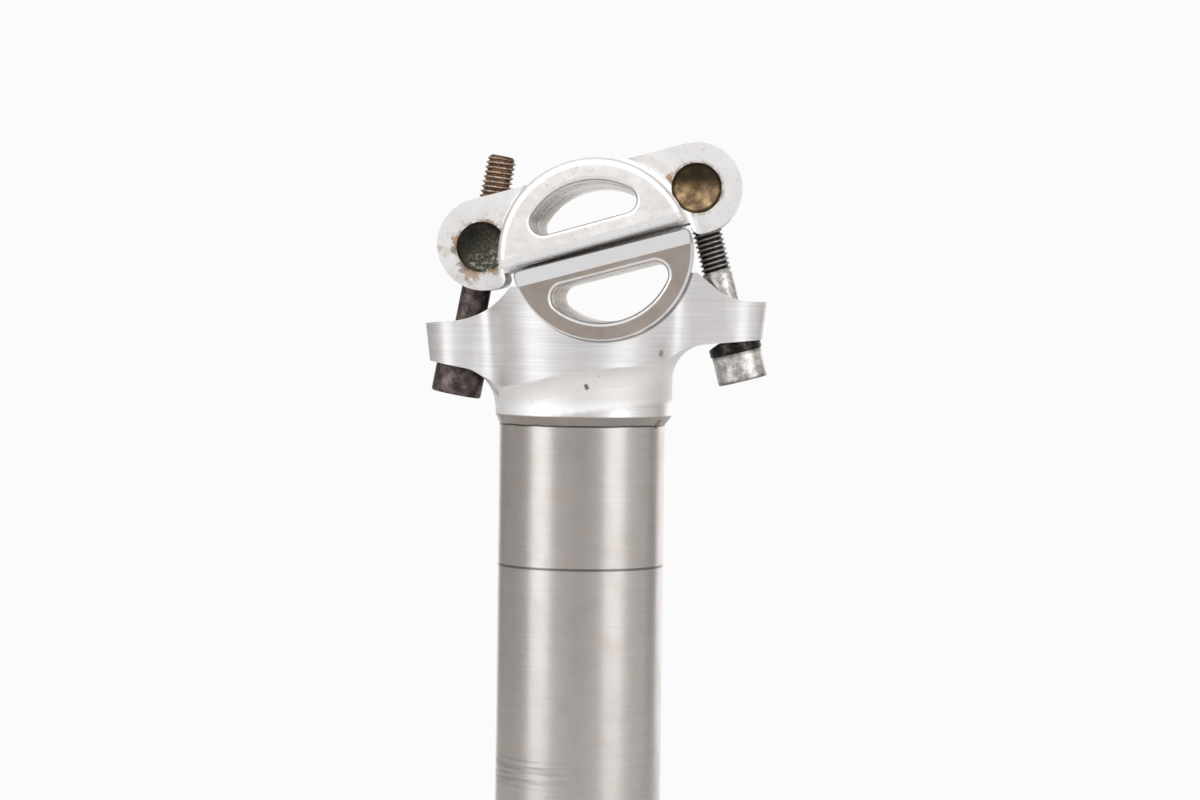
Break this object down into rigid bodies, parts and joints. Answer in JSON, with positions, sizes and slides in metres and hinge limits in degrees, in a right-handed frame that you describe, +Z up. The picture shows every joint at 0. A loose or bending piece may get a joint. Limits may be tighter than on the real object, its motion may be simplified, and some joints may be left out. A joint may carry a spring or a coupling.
{
  "type": "bicycle seatpost",
  "caption": "Bicycle seatpost with a round alloy shaft and a two-bolt tilting saddle-rail clamp on its head.",
  "frame": {"origin": "centre of the shaft's open bottom end", "axes": "+Z up the shaft, +X towards the bicycle's rear, +Y across the rails"},
  "size_m": [0.0565, 0.053, 0.3494],
  "materials": {
    "post_alloy": "finely turned shaft, blasted neck and milled head, worn",
    "cradle_alloy": "satin machined",
    "clamp_alloy": "blasted, with rust stains at the nut holes",
    "nut_brass": "tarnished",
    "washer_steel": "dark, oily",
    "dark_screw": "black oxide with rusty thread",
    "plated_screw": "worn zinc plate with dark spots"
  },
  "bodies": {
    "post": {"post": "post_alloy"},
    "clamp": {"lower_cradle": "cradle_alloy", "upper_clamp": "clamp_alloy"},
    "front_nut_body": {"front_nut": "nut_brass"},
    "rear_nut_body": {"rear_nut": "nut_brass"},
    "front_washer_body": {"front_washer": "washer_steel"},
    "rear_washer_body": {"rear_washer": "washer_steel"},
    "front_bolt_body": {"front_bolt": "dark_screw"},
    "rear_bolt_body": {"rear_bolt": "plated_screw"}
  },
  "joints": [
    {"name": "clamp_tilt", "type": "hinge", "parent": "post", "child": "clamp", "pos_m": [0.0036, 0, 0.3313], "axis": [0, 1, 0], "range_deg": [-4.5, 12]},
    {"name": "front_washer_rock", "type": "hinge", "parent": "post", "child": "front_washer_body", "pos_m": [-0.0212, 0, 0.30582], "axis": [0, 1, 0], "range_deg": [-0.9, 0.34]},
    {"name": "front_bolt_turn", "type": "hinge", "parent": "front_washer_body", "child": "front_bolt_body", "pos_m": [-0.01999, 0, 0.31236], "axis": [0.182, 0, 0.9833], "range_deg": [-1911.9, 716.97]},
    {"name": "front_nut_turn", "type": "hinge", "parent": "clamp", "child": "front_nut_body", "pos_m": [-0.0164, 0, 0.33173], "axis": [0, 1, 0], "range_deg": [-13.14, 4.93]},
    {"name": "rear_washer_rock", "type": "hinge", "parent": "post", "child": "rear_washer_body", "pos_m": [0.0268, 0, 0.30865], "axis": [0, 1, 0], "range_deg": [-0.79, 2.08]},
    {"name": "rear_bolt_turn", "type": "hinge", "parent": "rear_washer_body", "child": "rear_bolt_body", "pos_m": [0.02516, 0, 0.3151], "axis": [-0.2465, 0, 0.9692], "range_deg": [-621.04, 1656.08]},
    {"name": "rear_nut_turn", "type": "hinge", "parent": "clamp", "child": "rear_nut_body", "pos_m": [0.01839, 0, 0.34171], "axis": [0, 1, 0], "range_deg": [-10.18, 3.82]}
  ],
  "couplings": [
    {"joint": "front_washer_rock", "follows": "clamp_tilt", "ratio": -0.0725},
    {"joint": "front_bolt_turn", "follows": "clamp_tilt", "ratio": -156.2},
    {"joint": "front_nut_turn", "follows": "clamp_tilt", "ratio": -1.0725},
    {"joint": "rear_washer_rock", "follows": "clamp_tilt", "ratio": 0.1695},
    {"joint": "rear_bolt_turn", "follows": "clamp_tilt", "ratio": 135.3},
    {"joint": "rear_nut_turn", "follows": "clamp_tilt", "ratio": -0.8305}
  ]
}
